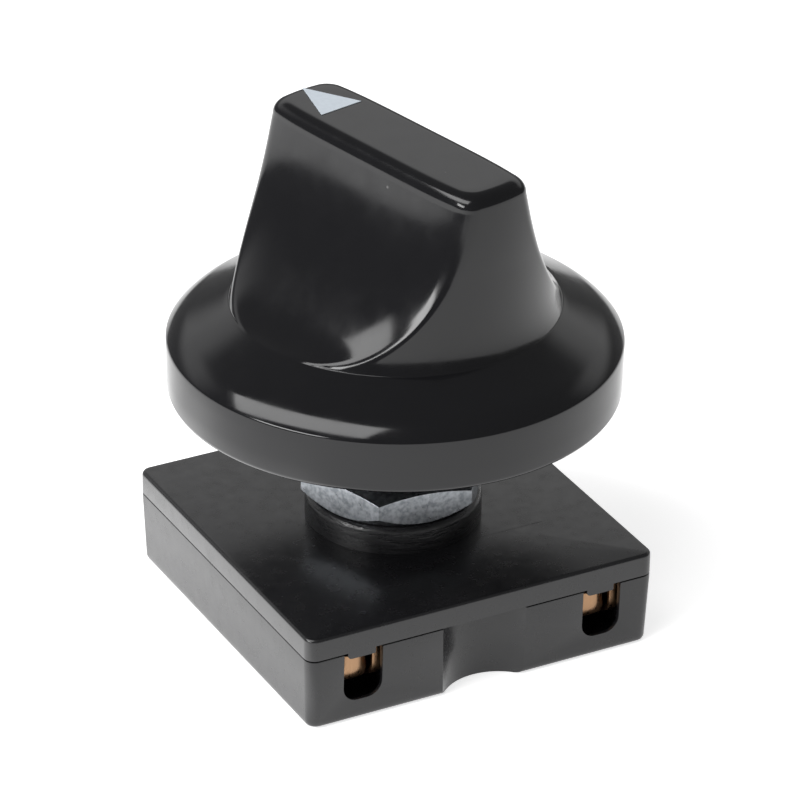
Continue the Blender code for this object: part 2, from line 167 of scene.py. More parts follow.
def upright(bm, cx=0.0, y=0.0):
    """Stand a prism up: its outline goes to XZ and its height runs along +Y."""
    turn = Matrix(((1, 0, 0, cx), (0, 0, 1, y), (0, 1, 0, 0), (0, 0, 0, 1)))
    bmesh.ops.transform(bm, matrix=turn, verts=bm.verts)
    return bm


# %% [markdown]
# ## Finishes
# Each finish is a Principled shader with its own nodes. Two effects are shared as
# groups. Grain gives a mask that changes over the surface and a height for
# a Bump node. Speckle gives the few bright dust grains that gloss black plastic
# always gathers.

# %% Shared group: grain
def new_group(name, inputs, outputs):
    group = bpy.data.node_groups.new(name, "ShaderNodeTree")
    for label, kind, value in inputs:
        sock = group.interface.new_socket(name=label, in_out="INPUT", socket_type=kind)
        if value is not None:
            sock.default_value = value
    for label, kind in outputs:
        group.interface.new_socket(name=label, in_out="OUTPUT", socket_type=kind)
    nodes = group.nodes
    return group, nodes.new("NodeGroupInput"), nodes.new("NodeGroupOutput")


def node(tree, kind, inputs=None, **settings):
    made = tree.nodes.new(kind)
    for key, value in settings.items():
        setattr(made, key, value)
    for key, value in (inputs or {}).items():
        if isinstance(value, bpy.types.NodeSocket):
            tree.links.new(value, made.inputs[key])
        else:
            made.inputs[key].default_value = value
    return made


def make_grain():
    group, gin, gout = new_group("Grain", [("Vector", "NodeSocketVector", None),
                                           ("Scale", "NodeSocketFloat", 900.0),
                                           ("Low", "NodeSocketFloat", 0.3),
                                           ("High", "NodeSocketFloat", 0.5)],
                                 [("Value", "NodeSocketFloat"), ("Height", "NodeSocketFloat")])
    fine = node(group, "ShaderNodeTexNoise", {"Vector": gin.outputs["Vector"],
                                              "Scale": gin.outputs["Scale"], "Detail": 4.0,
                                              "Roughness": 0.6})
    spread = node(group, "ShaderNodeMapRange", {"Value": fine.outputs["Fac"],
                                                "From Min": 0.3, "From Max": 0.7,
                                                "To Min": gin.outputs["Low"],
                                                "To Max": gin.outputs["High"]})
    group.links.new(spread.outputs["Result"], gout.inputs["Value"])
    group.links.new(fine.outputs["Fac"], gout.inputs["Height"])
    return group


grain_group = make_grain()
print("group", grain_group.name)


# %% Shared group: dust specks
def make_specks():
    group, gin, gout = new_group("Specks", [("Vector", "NodeSocketVector", None),
                                            ("Scale", "NodeSocketFloat", 260.0),
                                            ("Size", "NodeSocketFloat", 0.06),
                                            ("Amount", "NodeSocketFloat", 0.2)],
                                 [("Mask", "NodeSocketFloat")])
    cells = node(group, "ShaderNodeTexVoronoi", {"Vector": gin.outputs["Vector"],
                                                 "Scale": gin.outputs["Scale"]})
    small = node(group, "ShaderNodeMath", {0: cells.outputs["Distance"],
                                           1: gin.outputs["Size"]}, operation="LESS_THAN")
    pick = node(group, "ShaderNodeSeparateColor", {"Color": cells.outputs["Color"]})
    some = node(group, "ShaderNodeMath", {0: pick.outputs[0], 1: gin.outputs["Amount"]},
                operation="LESS_THAN")
    mask = node(group, "ShaderNodeMath", {0: small.outputs[0], 1: some.outputs[0]},
                operation="MULTIPLY")
    group.links.new(mask.outputs[0], gout.inputs["Mask"])
    return group


speck_group = make_specks()
print("group", speck_group.name)


# %% A plain start for every finish
def new_finish(name, colour, roughness, metallic=0.0, **uniform):
    mat = bpy.data.materials.new(name)
    mat.use_nodes = True
    tree = mat.node_tree
    shader = tree.nodes["Principled BSDF"]
    shader.inputs["Base Color"].default_value = (*colour, 1.0)
    shader.inputs["Roughness"].default_value = roughness
    shader.inputs["Metallic"].default_value = metallic
    for key, value in uniform.items():
        shader.inputs[key.replace("_", " ")].default_value = value
    where = tree.nodes.new("ShaderNodeTexCoord").outputs["Object"]
    return mat, tree, shader, where


def use_group(tree, group, inputs):
    made = tree.nodes.new("ShaderNodeGroup")
    made.node_tree = group
    for key, value in inputs.items():
        if isinstance(value, bpy.types.NodeSocket):
            tree.links.new(value, made.inputs[key])
        else:
            made.inputs[key].default_value = value
    return made


def bump(tree, shader, height, strength, distance):
    made = node(tree, "ShaderNodeBump", {"Height": height, "Strength": strength,
                                         "Distance": distance})
    tree.links.new(made.outputs["Normal"], shader.inputs["Normal"])
    return made


# %% Knob plastic, body plastic
def knob_plastic():
    mat, tree, shader, where = new_finish("gloss black moulding", (0.005, 0.005, 0.006), 0.12,
                                          Specular_IOR_Level=0.43)
    grain = use_group(tree, grain_group, {"Vector": where, "Scale": 420.0, "Low": 0.09,
                                          "High": 0.17})
    tree.links.new(grain.outputs["Value"], shader.inputs["Roughness"])
    dust = use_group(tree, speck_group, {"Vector": where, "Scale": 300.0, "Size": 0.035,
                                         "Amount": 0.12})
    colour = node(tree, "ShaderNodeMix", {"Factor": dust.outputs["Mask"],
                                          6: (0.005, 0.005, 0.006, 1), 7: (0.09, 0.09, 0.09, 1)},
                  data_type="RGBA")
    tree.links.new(colour.outputs[2], shader.inputs["Base Color"])
    slow = node(tree, "ShaderNodeTexNoise", {"Vector": where, "Scale": 90.0, "Detail": 1.0})
    bump(tree, shader, slow.outputs["Fac"], 0.12, 0.00012)
    return mat


def body_plastic():
    mat, tree, shader, where = new_finish("satin black moulding", (0.009, 0.009, 0.01), 0.25,
                                          Specular_IOR_Level=0.56)
    grain = use_group(tree, grain_group, {"Vector": where, "Scale": 700.0, "Low": 0.2,
                                          "High": 0.3})
    tree.links.new(grain.outputs["Value"], shader.inputs["Roughness"])
    bump(tree, shader, grain.outputs["Height"], 0.12, 0.00004)
    return mat


def collar_plastic():
    """The same plastic, with the fine rings that the tool left round it. Its base colour is a little
    lighter than the cover's, a painted lift that stands in for light on the collar.
    """
    mat, tree, shader, where = new_finish("ringed black moulding", (0.011, 0.011, 0.012), 0.3)
    rings = node(tree, "ShaderNodeMapping", {"Vector": where, "Scale": (0.16, 0.16, 1.0)})
    lines = use_group(tree, grain_group, {"Vector": rings.outputs[0], "Scale": 2700.0,
                                          "Low": 0.2, "High": 0.4})
    tree.links.new(lines.outputs["Value"], shader.inputs["Roughness"])
    bump(tree, shader, lines.outputs["Height"], 0.8, 0.00012)
    return mat


# %% Metals and the rest
def zinc_plate():
    mat, tree, shader, where = new_finish("zinc plated steel", (0.35, 0.37, 0.39), 0.3, 1.0)
    grain = use_group(tree, grain_group, {"Vector": where, "Scale": 1100.0, "Low": 0.26,
                                          "High": 0.4})
    tree.links.new(grain.outputs["Value"], shader.inputs["Roughness"])
    clouds = node(tree, "ShaderNodeTexNoise", {"Vector": where, "Scale": 2300.0, "Detail": 3.0})
    patchy = node(tree, "ShaderNodeMapRange", {"Value": clouds.outputs["Fac"], "From Min": 0.36,
                                               "From Max": 0.62})
    shade = node(tree, "ShaderNodeMix", {"Factor": patchy.outputs["Result"],
                                         6: (0.26, 0.28, 0.3, 1), 7: (0.45, 0.47, 0.5, 1)},
                 data_type="RGBA")
    tree.links.new(shade.outputs[2], shader.inputs["Base Color"])
    bump(tree, shader, grain.outputs["Height"], 0.06, 0.00002)
    return mat


def copper_strip():
    mat, tree, shader, where = new_finish("copper alloy strip", (0.33, 0.2, 0.115), 0.3, 1.0)
    stretch = node(tree, "ShaderNodeMapping", {"Vector": where, "Scale": (3.0, 3.0, 0.3)})
    grain = use_group(tree, grain_group, {"Vector": stretch.outputs[0], "Scale": 1500.0,
                                          "Low": 0.22, "High": 0.4})
    tree.links.new(grain.outputs["Value"], shader.inputs["Roughness"])
    bump(tree, shader, grain.outputs["Height"], 0.15, 0.00003)
    return mat


def bright_steel():
    mat, tree, shader, where = new_finish("bright steel", (0.56, 0.56, 0.58), 0.25, 1.0)
    grain = use_group(tree, grain_group, {"Vector": where, "Scale": 2000.0, "Low": 0.18,
                                          "High": 0.34})
    tree.links.new(grain.outputs["Value"], shader.inputs["Roughness"])
    return mat


def contact_silver():
    mat, tree, shader, where = new_finish("contact silver", (0.82, 0.81, 0.78), 0.3, 1.0)
    grain = use_group(tree, grain_group, {"Vector": where, "Scale": 1600.0, "Low": 0.25,
                                          "High": 0.45})
    tree.links.new(grain.outputs["Value"], shader.inputs["Roughness"])
    return mat


def natural_nylon():
    mat, tree, shader, where = new_finish("natural nylon", (0.74, 0.71, 0.63), 0.45,
                                          Subsurface_Weight=0.15)
    grain = use_group(tree, grain_group, {"Vector": where, "Scale": 700.0, "Low": 0.38,
                                          "High": 0.52})
    tree.links.new(grain.outputs["Value"], shader.inputs["Roughness"])
    return mat


def pointer_print():
    mat, tree, shader, where = new_finish("silver white print", (0.8, 0.86, 0.92), 0.4)
    grain = use_group(tree, grain_group, {"Vector": where, "Scale": 2600.0, "Low": 0.35,
                                          "High": 0.55})
    tree.links.new(grain.outputs["Value"], shader.inputs["Roughness"])
    shade = node(tree, "ShaderNodeMix", {"Factor": grain.outputs["Height"],
                                         6: (0.5, 0.56, 0.62, 1), 7: (0.66, 0.72, 0.78, 1)},
                 data_type="RGBA")
    tree.links.new(shade.outputs[2], shader.inputs["Base Color"])
    bump(tree, shader, grain.outputs["Height"], 0.2, 0.00003)
    return mat


KNOB_BLACK = knob_plastic()
BODY_BLACK = body_plastic()
COLLAR_BLACK = collar_plastic()
ZINC = zinc_plate()
COPPER = copper_strip()
STEEL = bright_steel()
SILVER = contact_silver()
NYLON = natural_nylon()
PRINT = pointer_print()
print("finishes", len(bpy.data.materials))

# %% [markdown]
# ## The knob
# The real knob is one gloss black moulding: a round skirt, a shallow cone on top
# of it, and a round hub that two deep side hollows cut down to a grip bar.
# A Boolean cut would leave ragged facets along the curved edges. Instead the hub
# is spun like a lathe part, and its points are then drawn in to the hollows, with
# the mesh columns following the edge so that it stays clean.

# %% Knob dimensions
POINTER_DEG = 102.5
HUB_BASE_Z = 28.4
GRIP_TOP_Z = 42.95
EDGE_TOP = 1.2
SHOULDER_Z = GRIP_TOP_Z - EDGE_TOP
COLUMNS_END = 22
COLUMNS_SIDE = 34
STEPS = 4 * (COLUMNS_END + COLUMNS_SIDE)


def hub_radius(z):
    """End faces: nearly upright, with a light flare into the skirt."""
    drop = max(0.0, 36.0 - z) / (36.0 - HUB_BASE_Z)
    rise = max(0.0, z - 36.5) / (SHOULDER_Z - 36.5)
    return 13.05 + 0.12 * drop + 0.5 * drop ** 6 - 0.22 * rise * rise


def end_half_width(z):
    drop = max(0.0, SHOULDER_Z - z)
    t = min(1.0, drop / (SHOULDER_Z - HUB_BASE_Z))
    return 3.3 + 0.22 * drop + 8.0 * (1 - math.sqrt(max(0.0, 1 - t ** 2.6)))


def grip_half_width(z, along):
    """Half the grip's width: drafted above, a hollow below, swollen between its ends."""
    end = end_half_width(z)
    swell = 0.55 + 1.05 * (1 - min(1.0, max(0.0, (z - HUB_BASE_Z) / 8.0)))
    radius = hub_radius(z)
    reach = max(1.0, radius ** 2 - end ** 2)
    full = swell * max(0.0, radius ** 2 - end ** 2) / radius ** 2
    return end + full * (1 - min(1.5, along ** 2 / reach) ** 2.4)


def side_round(z):
    """The upright corners are crisp at the foot and soft near the top."""
    rise = min(1.0, max(0.0, (z - 31.0) / 9.0))
    return 0.3 + 0.7 * rise * rise * (3 - 2 * rise)


def edge_distance(r, angle, z, inset):
    """Depth inside the outline, with the corner between end and side rounded."""
    x, y = r * math.cos(angle), r * math.sin(angle)
    a = hub_radius(z) - inset - r
    b = grip_half_width(z, x) - inset - abs(y)
    corner = side_round(z)
    if a < corner and b < corner:
        return corner - math.hypot(corner - a, corner - b)
    return min(a, b)


def outline_radius(angle, z, inset=0.0):
    low, high = 0.5, 16.0
    for _ in range(26):
        mid = (low + high) / 2
        if edge_distance(mid, angle, z, inset) > 0:
            low = mid
        else:
            high = mid
    return (low + high) / 2


def column_angle(index, z):
    """Angle of a mesh column, so that columns crowd at the edge of the hollow."""
    quarter, step = divmod(index, COLUMNS_END + COLUMNS_SIDE)
    mirrored = quarter % 2 == 1
    if mirrored:
        step = COLUMNS_END + COLUMNS_SIDE - step
    ratio = min(1.0, end_half_width(z) / hub_radius(z))
    corner = min(math.asin(ratio), math.radians(76))
    if step <= COLUMNS_END:
        angle = corner * (1 - (1 - step / COLUMNS_END) ** 1.5)
    else:
        s = (step - COLUMNS_END) / COLUMNS_SIDE
        angle = corner + (math.pi / 2 - corner) * s ** 1.5
    if mirrored:
        angle = math.pi - angle if quarter == 1 else 2 * math.pi - angle
    elif quarter == 2:
        angle += math.pi
    return angle


# %% Knob profile
def knob_profile():
    """(r, z, kind) from the bore's roof round the outside to the crown."""
    rows = [(0.0, 29.9, "bore"), (1.6, 29.9, "bore"), (3.2, 29.9, "bore"),
            (3.2, 25.0, "bore"), (3.2, 21.2, "bore"), (3.4, 21.0, "plain"),
            (5.1, 21.0, "plain"), (5.35, 21.1, "plain"), (5.4, 21.4, "plain"),
            (5.5, 25.7, "plain"), (5.8, 26.2, "plain"), (6.2, 26.3, "plain"),
            (11.6, 26.3, "plain"), (13.0, 26.05, "plain"), (16.0, 24.7, "plain"),
            (16.6, 24.2, "plain"), (16.85, 23.4, "plain"), (17.0, 20.85, "plain"),
            (17.06, 20.68, "plain"), (17.2, 20.6, "plain"), (18.3, 20.6, "plain")]
    for i in range(1, 7):
        a = math.radians(90) * i / 6
        rows.append((18.3 + 0.5 * math.sin(a), 21.1 - 0.5 * math.cos(a), "plain"))
    rows += [(18.82, 22.5, "plain"), (18.84, 24.0, "plain"), (18.85, 25.057, "plain")]
    for i in range(1, 7):
        tilt = math.radians(90 - 38 * i / 6)
        rows.append((18.4 + 0.45 * math.sin(tilt), 25.057 + 0.45 * math.cos(tilt), "plain"))
    for i in range(1, 15):
        tilt = math.radians(52 - 25 * i / 14)
        rows.append((14.814 + 5.0 * math.sin(tilt), 22.256 + 5.0 * math.cos(tilt), "plain"))
    r0, z0 = rows[-1][:2]
    for i in range(1, 13):
        s = i / 12
        rows.append((r0 + (13.95 - r0) * s, z0 + (28.3 - z0) * s, "slope%.3f" % s))
    rows.append((13.8, 28.36, "slope1.000"))
    rows.append((13.7, HUB_BASE_Z, "slope1.000"))
    z = HUB_BASE_Z
    while z < SHOULDER_Z - 0.01:
        step = 0.03 + 0.32 * min(1.0, (z - HUB_BASE_Z) / 5.0) ** 0.8
        z = min(SHOULDER_Z, z + step)
        rows.append((13.0, z, "hub0.000"))
    for i in range(1, 13):
        a = math.pi / 2 * i / 12
        rows.append((12.9 - 0.01 * i, SHOULDER_Z + EDGE_TOP * math.sin(a),
                     "hub%.4f" % (EDGE_TOP * (1 - math.cos(a)))))
    for s in (0.93, 0.82, 0.66, 0.46, 0.24, 0.0):
        rows.append((12.0 * s, GRIP_TOP_Z + 0.0001 * (1 - s), "crown%.3f" % s))
    return rows


def shape_knob(bm, rows):
    lookup = {(round(r, 3), round(z, 3)): kind for r, z, kind in rows}
    cache = {}
    for vert in bm.verts:
        r = math.hypot(vert.co.x, vert.co.y)
        kind = lookup[(round(r, 3), round(vert.co.z, 3))]
        if r < 1e-6:
            continue
        index = round(math.atan2(vert.co.y, vert.co.x) / (2 * math.pi) * STEPS) % STEPS
        even = 2 * math.pi * index / STEPS
        z = vert.co.z
        if kind == "bore":
            vert.co.x = min(vert.co.x, 2.95)
        elif kind.startswith("slope"):
            s = float(kind[5:])
            angle = even + (column_angle(index, HUB_BASE_Z) - even) * s
            vert.co.x, vert.co.y = r * math.cos(angle), r * math.sin(angle)
        elif kind.startswith("hub") or kind.startswith("crown"):
            top = kind.startswith("crown")
            inset = EDGE_TOP if top else float(kind[3:])
            level = min(z, SHOULDER_Z)
            share = float(kind[5:]) if top else 1.0
            key = (index, round(level, 4), round(inset, 4))
            if key not in cache:
                angle = column_angle(index, level)
                cache[key] = (angle, outline_radius(angle, level, inset))
            angle, reach = cache[key]
            vert.co.x = reach * share * math.cos(angle)
            vert.co.y = reach * share * math.sin(angle)
            if top:
                vert.co.z = GRIP_TOP_Z


def build_knob():
    rows = knob_profile()
    bm = turned([(r, z) for r, z, _ in rows], STEPS)
    bmesh.ops.remove_doubles(bm, verts=bm.verts, dist=0.0002)
    shape_knob(bm, rows)
    moulding = finish(bm, "knob_moulding", POINTER_DEG, merge=0.0002)
    for side in (0, 180):
        pocket = stack([(25.0, [(6.4, -2.5), (11.3, -2.5), (11.3, 2.5), (6.4, 2.5)]),
                        (38.0, [(6.8, -1.7), (10.9, -1.7), (10.9, 1.7), (6.8, 1.7)])])
        boolean(moulding, pocket, turn=POINTER_DEG + side)
    return smooth(moulding, 50)


knob = fit_in(build_knob(), "turning", "black_knob_plastic", KNOB_BLACK, "knob")


# %% Pointer mark
def build_pointer():
    tip, foot, half = 12.05, 7.05, 2.1
    outline = [(tip, 0.0), (foot, half), (foot, -half)]
    bm = prism(outline, GRIP_TOP_Z - 0.12, GRIP_TOP_Z + 0.05)
    return finish(bm, "pointer_print", POINTER_DEG)


fit_in(build_pointer(), "turning", "silver_white_print", PRINT, "pointer_mark")

# %% [markdown]
# ## Cover, collar and neck
# The cover is a thin plate with a small rounded edge, a tab at each wire entry, and
# a collar turned round the neck. The thread is cut into the neck, so it is a
# zigzag profile spun with a rise of one pitch.

# %% Cover plate
BODY_W = 32.0
SLOT_X = 11.05
COVER_Z = (6.55, 8.5)


def build_cover():
    z0, z1 = COVER_Z
    edge = 0.3
    rings = [(z0, rounded_rect(BODY_W, BODY_W, 1.0)),
             (z1 - edge, rounded_rect(BODY_W, BODY_W, 1.0))]
    for i in range(1, 6):
        a = math.pi / 2 * i / 5
        inset = edge * (1 - math.cos(a))
        width = BODY_W - 2 * inset
        rings.append((z1 - edge + edge * math.sin(a), rounded_rect(width, width, 1.0 - inset)))
    plate = finish(stack(rings), "cover_plate")
    for turn in (0, 180):
        for cx in (-SLOT_X, SLOT_X):
            x0 = cx - 1.4
            tab = [(x0, 6.35)]
            for i in range(7):
                a = math.pi + math.pi / 2 * i / 6
                tab.append((x0 + 0.35 + 0.35 * math.cos(a), 6.3 + 0.35 * math.sin(a)))
            tab += [(x0 + 2.42, 5.95), (x0 + 2.5, 6.03), (x0 + 2.5, 7.0), (x0, 7.0)]
            boolean(plate, upright(prism(tab, 0.0, 1.3), y=-15.97), "UNION", turn)
    boolean(plate, prism(circle(3.3, 64), 0.0, 12.0))
    boolean(plate, box(4.0, 10.2, -7.32, -7.28, z1 - 0.016, z1 + 1.0))
    return smooth(plate, 30)


fit_in(build_cover(), "housing", "black_body_plastic", BODY_BLACK, "top_cover")


# %% Collar
def build_collar():
    profile = [(3.3, 8.0), (7.4, 8.0), (7.4, 10.3)]
    for i in range(1, 7):
        a = math.pi / 2 * i / 6
        profile.append((6.8 + 0.6 * math.cos(a), 10.3 + 0.6 * math.sin(a)))
    profile += [(4.4, 10.9), (4.4, 10.5), (3.3, 10.5)]
    return smooth(finish(turned(profile, 160, closed=True), "collar"), 40)


fit_in(build_collar(), "housing", "black_body_plastic", COLLAR_BLACK, "top_cover")

# %% [markdown]
# The neck carries the thread. A screw modifier could wind it, but a spin with a rise
# at each step does the same from one short zigzag. The rough ends are then trimmed,
# the bore opened and the tip chamfered in one go, by keeping only what lies inside
# a turned sleeve.

# %% Threaded neck
PITCH = 0.75
NECK_STEPS = 120


def build_neck():
    root, crest = 4.42, 4.84
    profile = []
    z = 9.6
    while z < 20.8:
        profile += [(root, z), (root, z + 0.08), (crest - 0.04, z + 0.36), (crest, z + 0.4),
                    (crest, z + 0.44), (crest - 0.04, z + 0.48)]
        z += PITCH
    profile.append((root, z))
    bm = turned(profile, NECK_STEPS, dvec=(0, 0, PITCH / NECK_STEPS))
    bmesh.ops.remove_doubles(bm, verts=bm.verts, dist=0.003)
    for height, trim in ((10.6, "clear_inner"), (20.2, "clear_outer")):
        geom = bm.verts[:] + bm.edges[:] + bm.faces[:]
        bmesh.ops.bisect_plane(bm, geom=geom, plane_co=(0, 0, height), plane_no=(0, 0, 1),
                               **{trim: True})
    rims = [edge for edge in bm.edges if edge.is_boundary]
    bmesh.ops.holes_fill(bm, edges=rims, sides=0)
    neck = finish(bm, "threaded_neck", merge=0.001)
    sleeve = turned([(3.3, 10.7), (5.2, 10.7), (5.2, 18.7), (4.45, 19.5), (3.5, 19.5),
                     (3.3, 19.3)], 96, closed=True)
    boolean(neck, sleeve, "INTERSECT")
    return smooth(neck, 28)


fit_in(build_neck(), "housing", "black_body_plastic", BODY_BLACK, "top_cover")

# %% [markdown]
# ## Hex nut
# A nut starts as a hexagonal prism. Turning a cone off each end leaves the curved
# edges that make every face of the nut look like a lens. Keeping the common part of
# the prism and a turned blank gives exactly those curves. The lower cone is deeper.

# %% Nut
NUT_FLATS = 14.3
NUT_Z = (11.05, 13.8)


def build_nut():
    corner = NUT_FLATS / math.sqrt(3)
    z0, z1 = NUT_Z
    hexagon = [(x, y) for x, y in circle(corner, 6)]
    nut = finish(prism(hexagon, z0, z1), "plated_nut", -126.3)
    blank = turned([(4.2, z0), (7.1, z0), (corner + 0.1, z0 + 1.15), (corner + 0.1, z1 - 0.5),
                    (7.1, z1), (4.2, z1)], 240, closed=True)
    boolean(nut, blank, "INTERSECT")
    root, crest = 5.3, 4.95
    boolean(nut, prism(circle(root, 96), z0 - 1, z1 + 1))
    soften(nut, 0.09, 25, 3)
    thread = [(root + 0.05, z0 + 0.25)]
    z = z0 + 0.3
    while z < z1 - 0.4:
        thread += [(root, z), (crest, z + PITCH / 2)]
        z += PITCH
    thread += [(root, z), (root + 0.05, z + 0.05)]
    boolean(nut, turned(thread, 96, closed=True), "UNION")
    smooth(nut, 32)
    for face in nut.data.polygons:
        x, y, z = face.center / MM
        if math.hypot(x, y) > 0.49 * NUT_FLATS and abs(face.normal.z) < 0.01:
            face.use_smooth = False
    return nut


fit_in(build_nut(), "housing", "zinc_plated_steel", ZINC, "hex_nut")

# %% [markdown]
# ## Base housing
# The lower shell is a tray with drafted walls. A round well holds the rotor, and its
# wall is waved into detent notches. Each wire entry is a U cut through the wall,
# with a chamber behind it for the spring leaves. A fine bevel softens the cut edges.

# %% Housing
BASE_TOP = 6.45
SLOT_WALL = 0.5


def u_outline(half, floor, radius, top, steps=8):
    points = [(-half, top), (-half, floor + radius)]
    for centre, start in ((-half + radius, math.pi), (half - radius, 1.5 * math.pi)):
        for i in range(steps + 1):
            a = start + math.pi / 2 * i / steps
            points.append((centre + radius * math.cos(a), floor + radius + radius * math.sin(a)))
    points.append((half, top))
    return points


def build_housing():
    rings = []
    for z, inset, radius in [(0.0, 0.75, 0.6), (0.07, 0.5, 0.72), (0.2, 0.33, 0.82),
                             (0.42, 0.23, 0.92), (0.7, 0.2, 0.98), (6.33, 0.0, 1.0),
                             (6.42, 0.03, 0.98), (BASE_TOP, 0.1, 0.92)]:
        width = BODY_W - 2 * inset
        rings.append((z, rounded_rect(width, width, radius)))
    shell = finish(stack(rings), "base_shell")
    well = []
    for i in range(128):
        a = 2 * math.pi * i / 128
        r = 9.35 + 0.35 * math.cos(4 * (a - math.radians(POINTER_DEG - 90))) ** 2
        well.append((r * math.cos(a), r * math.sin(a)))
    boolean(shell, prism(well, 3.0, 9.0))
    boolean(shell, prism(circle(9.15, 96), 1.2, 3.4))
    for turn in (0, 180):
        boolean(shell, prism(circle(4.8, 128, 0.1, -18.8), -1.0, 9.0), turn=turn)
        for cx in (-SLOT_X, SLOT_X):
            back = box(cx - 2.0, cx + 2.35, SLOT_WALL - BODY_W / 2, -4.7, 1.25, 9.0)
            boolean(shell, back, turn=turn)
            entry = prism(u_outline(1.75, 1.9, 1.3, 7.5), 0.0, 3.0)
            boolean(shell, upright(entry, cx, -17.0), turn=turn)
            x0, x1 = sorted((math.copysign(5.5, cx), cx))
            boolean(shell, box(x0, x1, -7.3, -4.9, 1.3, 2.4), turn=turn)
    for sx in (-14.0, 14.0):
        for sy in (-3.0, 3.0):
            boolean(shell, prism(circle(1.0, 24, sx, sy), 4.0, 9.0))
    boolean(shell, prism(circle(2.0, 32), 0.7, 1.6))
    soften(shell, 0.07, 50, 2)
    return smooth(shell, 35)


fit_in(build_housing(), "housing", "black_body_plastic", BODY_BLACK, "base_housing")

# %% [markdown]
# ## Spring leaves
# Behind each wire entry hang two leaves of copper alloy: a wide one that carries the
# current and a narrow one that grips the wire. Both are bent strips. The wide one is
# also bowed across its width, so that it catches the light along one side, and the
# bow is made by moving each outline of the stack a little further out in the middle.

# %% Leaves
LEAF_Y = -15.02
LEAF_CURL = 1.9


def tongue(top, rest):
    path = [(LEAF_Y, top), (LEAF_Y, 5.3), (LEAF_Y, 5.0)]
    for i in range(17):
        a = math.pi / 2 * i / 16
        path.append((LEAF_Y + LEAF_CURL * (1 - math.cos(a)), 4.7 - LEAF_CURL * math.sin(a)))
    return path + rest


def strip(path, thickness, x0, x1, bow=0.0):
    outline = []
    for side in (1, -1):
        edge = []
        for i, (y, z) in enumerate(path):
            ay, az = path[max(i - 1, 0)]
            by, bz = path[min(i + 1, len(path) - 1)]
            run = math.hypot(by - ay, bz - az)
            edge.append((y - side * (bz - az) / run * thickness / 2,
                         z + side * (by - ay) / run * thickness / 2))
        outline += edge[::side]
    rings = []
    stations = 16 if bow else 1
    for k in range(stations + 1):
        across = 2 * k / stations - 1
        lift = bow * across * across
        ring = [(y + lift * min(1.0, max(0.0, (z - 2.6) / 2.0)), z) for y, z in outline]
        rings.append((x0 + (x1 - x0) * k / stations, ring))
    bm = stack(rings)
    turn = Matrix(((0, 0, 1, 0), (1, 0, 0, 0), (0, 1, 0, 0), (0, 0, 0, 1)))
    bmesh.ops.transform(bm, matrix=turn, verts=bm.verts)
    return bm


def build_leaf(number, cx, turn):
    rest = [(-11.0, 2.62), (-9.6, 1.95), (-8.8, 1.7), (-8.0, 1.68), (-5.2, 1.68)]
    leaf = finish(strip(tongue(5.65, rest), 0.35, cx - 1.7, cx + 0.85, 0.55),
                  "contact_leaf_%d" % number, turn)
    x0, x1 = sorted((math.copysign(4.3, cx), cx))
    boolean(leaf, box(x0, x1, -6.95, -5.15, 1.505, 1.855), "UNION", turn)
    return smooth(leaf, 40)


def build_wire_leaf(number, cx, turn):
    rest = [(-12.2, 3.0), (-11.2, 3.5), (-10.4, 4.2)]
    leaf = finish(strip(tongue(6.35, rest), 0.3, cx + 1.4, cx + 2.05),
                  "wire_leaf_%d" % number, turn)
    boolean(leaf, strip(tongue(5.65, rest), 0.3, cx + 1.2, cx + 1.6), "UNION", turn)
    return smooth(leaf, 40)


entries = [(-SLOT_X, 0), (SLOT_X, 0), (-SLOT_X, 180), (SLOT_X, 180)]
for number, (cx, turn) in enumerate(entries, 1):
    fit_in(build_leaf(number, cx, turn), "housing", "terminal_copper_alloy", COPPER,
           "terminal_clip_%d" % number)
    fit_in(build_wire_leaf(number, cx, turn), "housing", "terminal_copper_alloy", COPPER,
           "wire_spring_%d" % number)

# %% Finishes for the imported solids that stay
for name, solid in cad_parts.items():
    mats = {"switch_shaft": STEEL, "thrust_washer": STEEL, "shaft_retaining_ring": STEEL,
            "rotor": NYLON, "contact_bridge": COPPER, "common_ring": SILVER,
            "knob_spring_clip": STEEL}
    mat = mats.get(name)
    if mat is None:
        for start, choice in (("fixed_contact", SILVER), ("detent", STEEL)):
            if name.startswith(start):
                mat = choice
    if mat is not None:
        solid.data.materials.clear()
        solid.data.materials.append(mat)

# %% [markdown]
# ## Camera, floor and light
# The view is a long lens from the front left, a little above. Black plastic shows
# hardly any colour of its own, so the light is built from what it mirrors: a bright
# floor, a pale backdrop behind, dark room on the near side, and one long softbox.

# %% Camera
AZIMUTH, ELEVATION, ROLL = math.radians(-28.231), math.radians(28.408), math.radians(0.751)
DISTANCE = 0.4055
back = Vector((math.sin(AZIMUTH) * math.cos(ELEVATION),
               -math.cos(AZIMUTH) * math.cos(ELEVATION), math.sin(ELEVATION)))
right = Vector((math.cos(AZIMUTH), math.sin(AZIMUTH), 0.0))
up = back.cross(right)
eye = Vector((0, 0, 0.015)) + back * DISTANCE + right * 0.000464 + up * 0.003481
across = right * math.cos(ROLL) + up * math.sin(ROLL)
above = up * math.cos(ROLL) - right * math.sin(ROLL)
camera_data = bpy.data.cameras.new("camera")
camera_data.sensor_width = 36.0
camera_data.lens = 219.72
camera_data.clip_start = 0.01
camera = bpy.data.objects.new("camera", camera_data)
bpy.context.scene.collection.objects.link(camera)
turn = Matrix((across, above, back)).transposed().to_4x4()
camera.matrix_world = Matrix.Translation(eye) @ turn
bpy.context.scene.camera = camera
bpy.context.scene.view_settings.view_transform = "Standard"
print("lens", round(camera_data.lens, 1), "eye", [round(v, 4) for v in eye])


# %% Ramps for light that changes over the stage
def ramp(tree, value, low, high):
    return node(tree, "ShaderNodeMapRange", {"Value": value, "From Min": low, "From Max": high},
                interpolation_type="SMOOTHSTEP").outputs["Result"]


def times(tree, one, other):
    return node(tree, "ShaderNodeMath", {0: one, 1: other}, operation="MULTIPLY").outputs[0]


